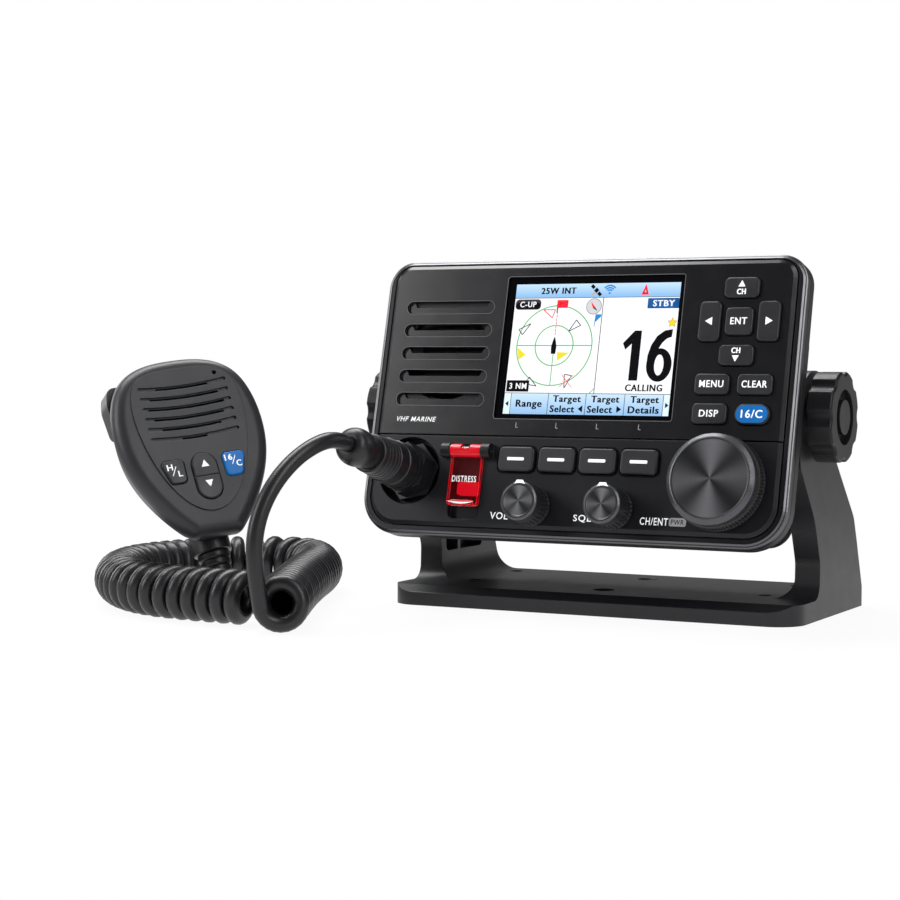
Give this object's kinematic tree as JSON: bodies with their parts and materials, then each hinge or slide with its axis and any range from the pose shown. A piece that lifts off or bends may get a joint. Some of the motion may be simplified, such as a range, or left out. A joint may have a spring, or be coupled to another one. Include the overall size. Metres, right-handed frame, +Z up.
{
  "type": "vhf marine radio",
  "caption": "Tilting VHF marine radio with colour display, soft keys, guarded distress button and knobs, on a yoke bracket, with a hand microphone on a curly cord",
  "frame": {"origin": "middle of the bracket's flat underside, which stands on the table", "axes": "+X to the right along the bracket, -Y the way the front panel looks, +Z up"},
  "size_m": [0.308, 0.1962, 0.1393],
  "materials": {
    "bracket_plastic": "fine-grained black moulding",
    "steel": "plain stainless steel",
    "case_paint": "black powder coat on cast aluminium",
    "front_plastic": "satin charcoal moulding with a fine grain",
    "gloss_plastic": "smooth half-gloss black",
    "lens_glass": "clear flat window",
    "display": "lit colour display",
    "board": "green circuit board",
    "key_plastic": "satin black silicone key",
    "blue_plastic": "blue key",
    "red_plastic": "translucent red guard and red button",
    "knob_plastic": "black knob with a fine turned face",
    "rubber": "soft black rubber"
  },
  "bodies": {
    "mount": {"bracket": "bracket_plastic", "friction_pads": "rubber", "curly_cord": "rubber", "mic_lead": "rubber", "handset_lead": "rubber"},
    "radio": {"rear_case": "case_paint", "front_case": "front_plastic", "upper_fascia": "gloss_plastic", "case_gasket": "rubber", "display_lens": "lens_glass", "lcd_module": "display", "speaker": "steel", "main_board": "board", "front_board": "board", "distress_pin": "steel", "distress_spring": "steel", "encoders": "knob_plastic", "mic_socket": "rubber", "mic_plug": "rubber", "plug_boot": "rubber", "antenna_socket": "steel", "rear_sockets": "rubber", "case_screws": "steel"},
    "left_knob": {"knob_left": "bracket_plastic", "knob_left_stud": "steel", "knob_left_washer": "steel"},
    "right_knob": {"knob_right": "bracket_plastic", "knob_right_stud": "steel", "knob_right_washer": "steel"},
    "volume": {"volume_knob": "knob_plastic", "volume_shaft": "steel"},
    "squelch": {"squelch_knob": "knob_plastic", "squelch_shaft": "steel"},
    "dial_spindle": {"dial_shaft": "steel"},
    "dial": {"dial_knob": "knob_plastic"},
    "distress_cover": {"distress_cover": "red_plastic"},
    "distress_button": {"distress_button": "red_plastic"},
    "coupling_ring": {"coupling_ring": "rubber"},
    "handset": {"handset_front": "front_plastic", "handset_rear": "front_plastic", "handset_board": "board", "strain_relief": "rubber", "hanger_stud": "rubber"},
    "ptt_button": {"ptt_button": "key_plastic"},
    "handset_key_hl": {"handset_key_hl": "key_plastic"},
    "handset_key_16": {"handset_key_16": "blue_plastic"},
    "handset_rocker": {"handset_rocker": "key_plastic"},
    "key_up": {"key_up": "key_plastic"},
    "key_left": {"key_left": "key_plastic"},
    "key_ent": {"key_ent": "key_plastic"},
    "key_right": {"key_right": "key_plastic"},
    "key_down": {"key_down": "key_plastic"},
    "key_menu": {"key_menu": "key_plastic"},
    "key_clear": {"key_clear": "key_plastic"},
    "key_disp": {"key_disp": "key_plastic"},
    "key_16": {"key_16": "blue_plastic"},
    "softkey_1": {"softkey_1": "key_plastic"},
    "softkey_2": {"softkey_2": "key_plastic"},
    "softkey_3": {"softkey_3": "key_plastic"},
    "softkey_4": {"softkey_4": "key_plastic"}
  },
  "joints": [
    {"name": "radio_tilt", "type": "hinge", "parent": "mount", "child": "radio", "pos_m": [0, -0.022, 0.0785], "axis": [1, 0, 0], "range_deg": [-25, 14], "deforming": ["mic_lead"]},
    {"name": "knob_left_turn", "type": "hinge", "parent": "mount", "child": "left_knob", "pos_m": [0, -0.022, 0.0785], "axis": [-1, 0, 0], "continuous": true},
    {"name": "knob_right_turn", "type": "hinge", "parent": "mount", "child": "right_knob", "pos_m": [0, -0.022, 0.0785], "axis": [1, 0, 0], "continuous": true},
    {"name": "volume_turn", "type": "hinge", "parent": "radio", "child": "volume", "pos_m": [-0.013, -0.06032, 0.04322], "axis": [0, -0.9694, 0.2453], "range_deg": [-150, 150]},
    {"name": "squelch_turn", "type": "hinge", "parent": "radio", "child": "squelch", "pos_m": [0.02125, -0.06032, 0.04322], "axis": [0, -0.9694, 0.2453], "range_deg": [-150, 150]},
    {"name": "dial_turn", "type": "hinge", "parent": "radio", "child": "dial_spindle", "pos_m": [0.063, -0.05766, 0.05374], "axis": [0, -0.9694, 0.2453], "continuous": true},
    {"name": "dial_push", "type": "slide", "parent": "dial_spindle", "child": "dial", "axis": [0, 0.9694, -0.2453], "range_m": [0, 0.001], "stiffness_N_per_m": 1500, "springref_m": -0.0006},
    {"name": "distress_cover_open", "type": "hinge", "parent": "radio", "child": "distress_cover", "pos_m": [-0.0427, -0.05728, 0.06422], "axis": [-1, 0, 0], "range_deg": [0, 110], "stiffness_Nm_per_rad": 0.003, "springref_deg": -34.38, "deforming": ["distress_spring"]},
    {"name": "distress_press", "type": "slide", "parent": "radio", "child": "distress_button", "axis": [0, 0.9694, -0.2453], "range_m": [0, 0.0008], "stiffness_N_per_m": 400, "springref_m": -0.0005},
    {"name": "coupling_turn", "type": "hinge", "parent": "radio", "child": "coupling_ring", "pos_m": [-0.0687, -0.05717, 0.05568], "axis": [0, -0.9694, 0.2453], "continuous": true},
    {"name": "handset_lift", "type": "slide", "parent": "mount", "child": "handset", "axis": [0, 0, 1], "range_m": [0, 0.08], "deforming": ["handset_lead"]},
    {"name": "ptt_press", "type": "slide", "parent": "handset", "child": "ptt_button", "axis": [0.5668, 0.8138, 0.1281], "range_m": [0, 0.0014], "stiffness_N_per_m": 500, "springref_m": -0.0008},
    {"name": "handset_hl_press", "type": "slide", "parent": "handset", "child": "handset_key_hl", "axis": [-0.7254, 0.5667, -0.3907], "range_m": [0, 0.0006], "stiffness_N_per_m": 400, "springref_m": -0.0005},
    {"name": "handset_16_press", "type": "slide", "parent": "handset", "child": "handset_key_16", "axis": [-0.7254, 0.5667, -0.3907], "range_m": [0, 0.0006], "stiffness_N_per_m": 400, "springref_m": -0.0005},
    {"name": "handset_rocker_tip", "type": "hinge", "parent": "handset", "child": "handset_rocker", "pos_m": [-0.13385, -0.10532, 0.05305], "axis": [0.5668, 0.8138, 0.1281], "range_deg": [-4, 4], "stiffness_Nm_per_rad": 0.03},
    {"name": "key_up_press", "type": "slide", "parent": "radio", "child": "key_up", "axis": [0, 0.9694, -0.2453], "range_m": [0, 0.0007], "stiffness_N_per_m": 400, "springref_m": -0.0005},
    {"name": "key_left_press", "type": "slide", "parent": "radio", "child": "key_left", "axis": [0, 0.9694, -0.2453], "range_m": [0, 0.0007], "stiffness_N_per_m": 400, "springref_m": -0.0005},
    {"name": "key_ent_press", "type": "slide", "parent": "radio", "child": "key_ent", "axis": [0, 0.9694, -0.2453], "range_m": [0, 0.0007], "stiffness_N_per_m": 400, "springref_m": -0.0005},
    {"name": "key_right_press", "type": "slide", "parent": "radio", "child": "key_right", "axis": [0, 0.9694, -0.2453], "range_m": [0, 0.0007], "stiffness_N_per_m": 400, "springref_m": -0.0005},
    {"name": "key_down_press", "type": "slide", "parent": "radio", "child": "key_down", "axis": [0, 0.9694, -0.2453], "range_m": [0, 0.0007], "stiffness_N_per_m": 400, "springref_m": -0.0005},
    {"name": "key_menu_press", "type": "slide", "parent": "radio", "child": "key_menu", "axis": [0, 0.9694, -0.2453], "range_m": [0, 0.0007], "stiffness_N_per_m": 400, "springref_m": -0.0005},
    {"name": "key_clear_press", "type": "slide", "parent": "radio", "child": "key_clear", "axis": [0, 0.9694, -0.2453], "range_m": [0, 0.0007], "stiffness_N_per_m": 400, "springref_m": -0.0005},
    {"name": "key_disp_press", "type": "slide", "parent": "radio", "child": "key_disp", "axis": [0, 0.9694, -0.2453], "range_m": [0, 0.0007], "stiffness_N_per_m": 400, "springref_m": -0.0005},
    {"name": "key_16_press", "type": "slide", "parent": "radio", "child": "key_16", "axis": [0, 0.9694, -0.2453], "range_m": [0, 0.0007], "stiffness_N_per_m": 400, "springref_m": -0.0005},
    {"name": "softkey_1_press", "type": "slide", "parent": "radio", "child": "softkey_1", "axis": [0, 0.9694, -0.2453], "range_m": [0, 0.0007], "stiffness_N_per_m": 400, "springref_m": -0.0005},
    {"name": "softkey_2_press", "type": "slide", "parent": "radio", "child": "softkey_2", "axis": [0, 0.9694, -0.2453], "range_m": [0, 0.0007], "stiffness_N_per_m": 400, "springref_m": -0.0005},
    {"name": "softkey_3_press", "type": "slide", "parent": "radio", "child": "softkey_3", "axis": [0, 0.9694, -0.2453], "range_m": [0, 0.0007], "stiffness_N_per_m": 400, "springref_m": -0.0005},
    {"name": "softkey_4_press", "type": "slide", "parent": "radio", "child": "softkey_4", "axis": [0, 0.9694, -0.2453], "range_m": [0, 0.0007], "stiffness_N_per_m": 400, "springref_m": -0.0005}
  ]
}
